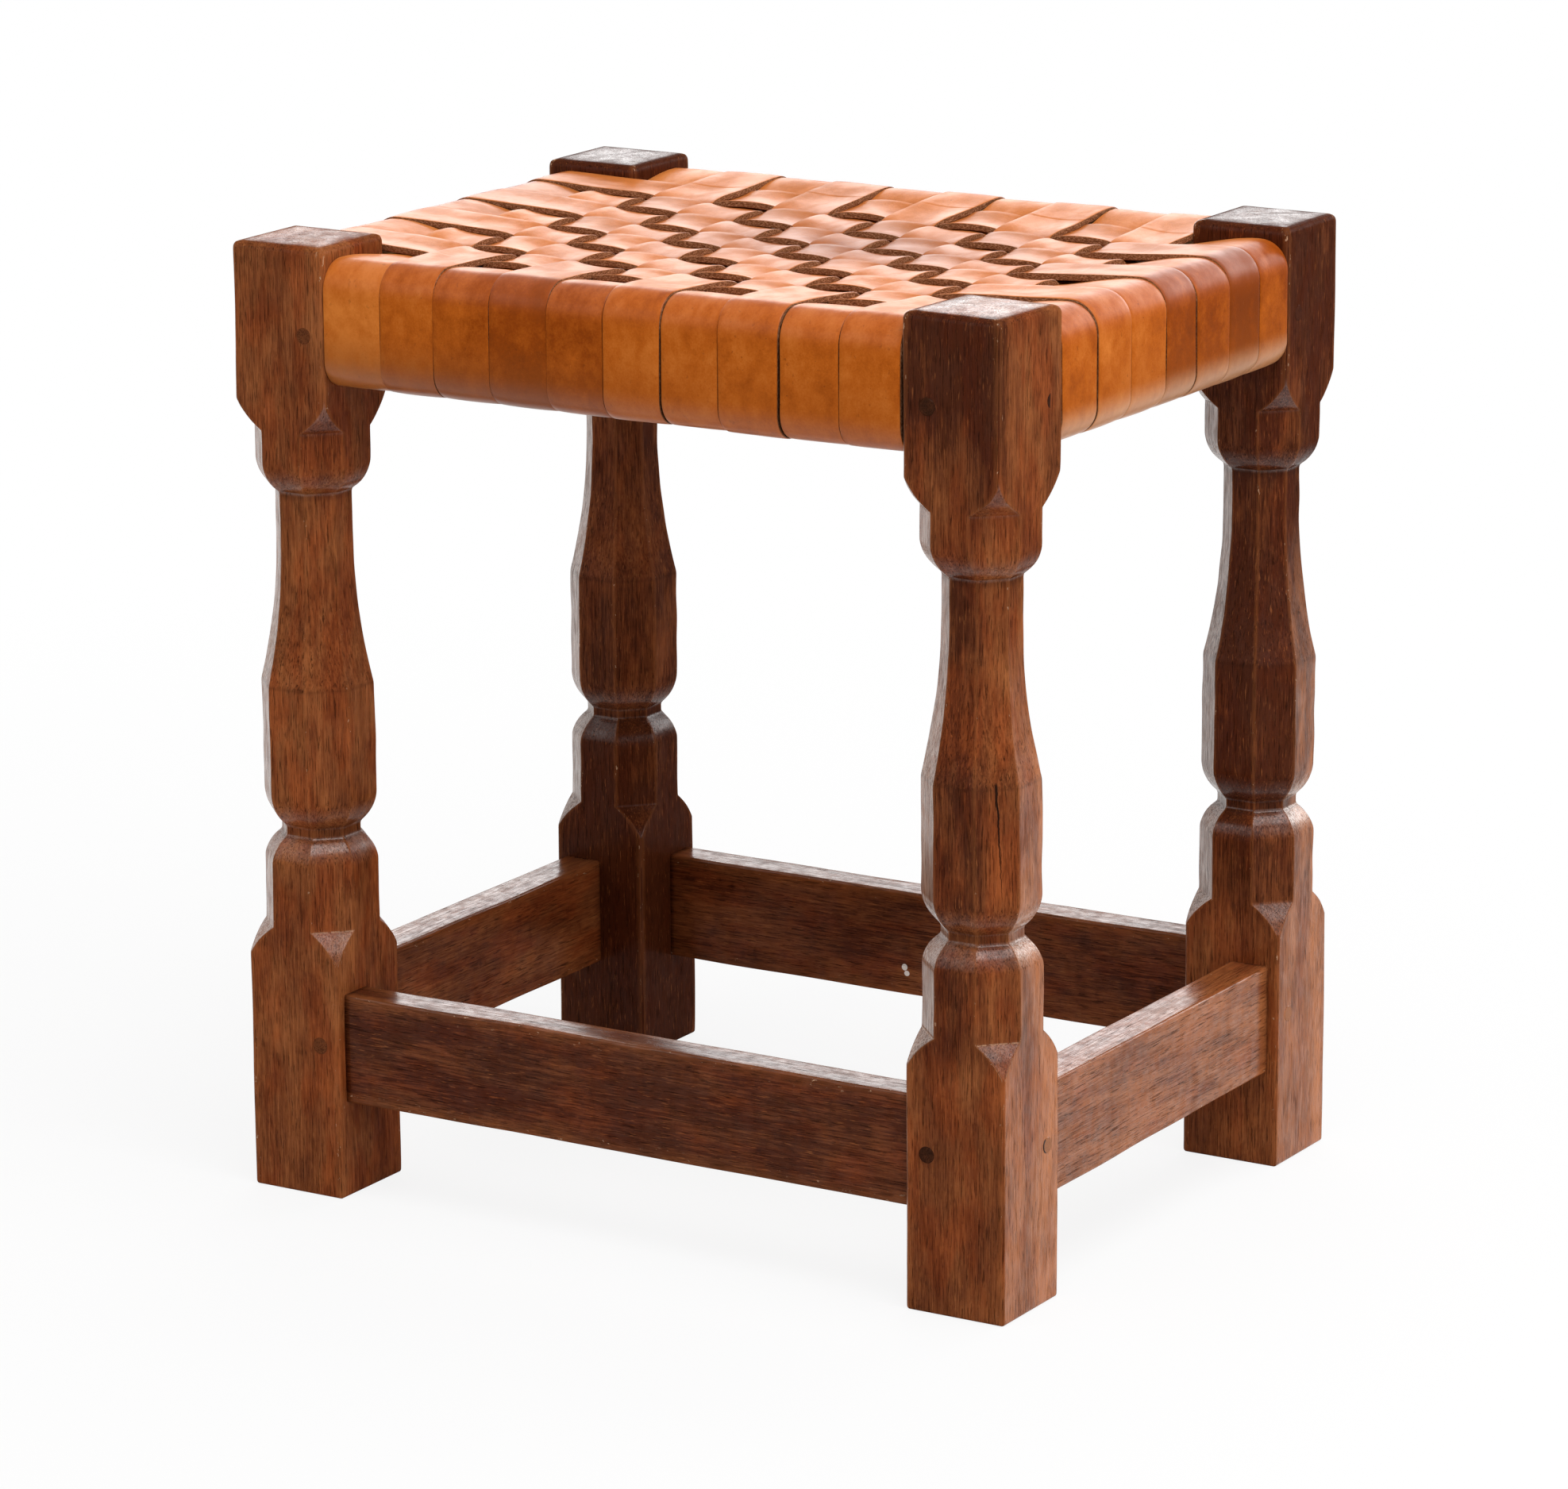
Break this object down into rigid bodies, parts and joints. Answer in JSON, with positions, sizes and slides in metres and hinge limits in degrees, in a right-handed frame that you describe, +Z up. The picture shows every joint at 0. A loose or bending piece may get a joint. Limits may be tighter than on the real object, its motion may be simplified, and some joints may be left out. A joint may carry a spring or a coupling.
{
  "type": "stool",
  "caption": "Rectangular wooden stool with faceted baluster legs, low stretchers and a flat seat of interwoven leather straps.",
  "frame": {"origin": "middle of the footprint, on the floor", "axes": "+X to the right along the long side, +Y to the back, +Z up"},
  "size_m": [0.3776, 0.2926, 0.42],
  "materials": {
    "oak_frame": "dark stained oak, oiled and waxed, worn on its edges",
    "oak_pegs": "end grain of oak pegs, oiled",
    "saddle_leather": "tan vegetable-tanned leather, burnished by use, raw brown edges",
    "iron_nails": "blackened iron clout nails"
  },
  "bodies": {
    "root": {"leg_front_left": "oak_frame", "leg_front_right": "oak_frame", "leg_back_left": "oak_frame", "leg_back_right": "oak_frame", "seat_rail_front": "oak_frame", "seat_rail_back": "oak_frame", "seat_rail_left": "oak_frame", "seat_rail_right": "oak_frame", "stretcher_front": "oak_frame", "stretcher_back": "oak_frame", "stretcher_left": "oak_frame", "stretcher_right": "oak_frame", "pegs_front_left": "oak_pegs", "pegs_front_right": "oak_pegs", "pegs_back_left": "oak_pegs", "pegs_back_right": "oak_pegs", "strap_lengthwise_01": "saddle_leather", "strap_lengthwise_02": "saddle_leather", "strap_lengthwise_03": "saddle_leather", "strap_lengthwise_04": "saddle_leather", "strap_lengthwise_05": "saddle_leather", "strap_lengthwise_06": "saddle_leather", "strap_lengthwise_07": "saddle_leather", "strap_lengthwise_08": "saddle_leather", "strap_lengthwise_09": "saddle_leather", "strap_lengthwise_10": "saddle_leather", "strap_crosswise_01": "saddle_leather", "strap_crosswise_02": "saddle_leather", "strap_crosswise_03": "saddle_leather", "strap_crosswise_04": "saddle_leather", "strap_crosswise_05": "saddle_leather", "strap_crosswise_06": "saddle_leather", "strap_crosswise_07": "saddle_leather", "nails_front": "iron_nails", "nails_back": "iron_nails", "nails_left": "iron_nails", "nails_right": "iron_nails"}
  },
  "joints": []
}
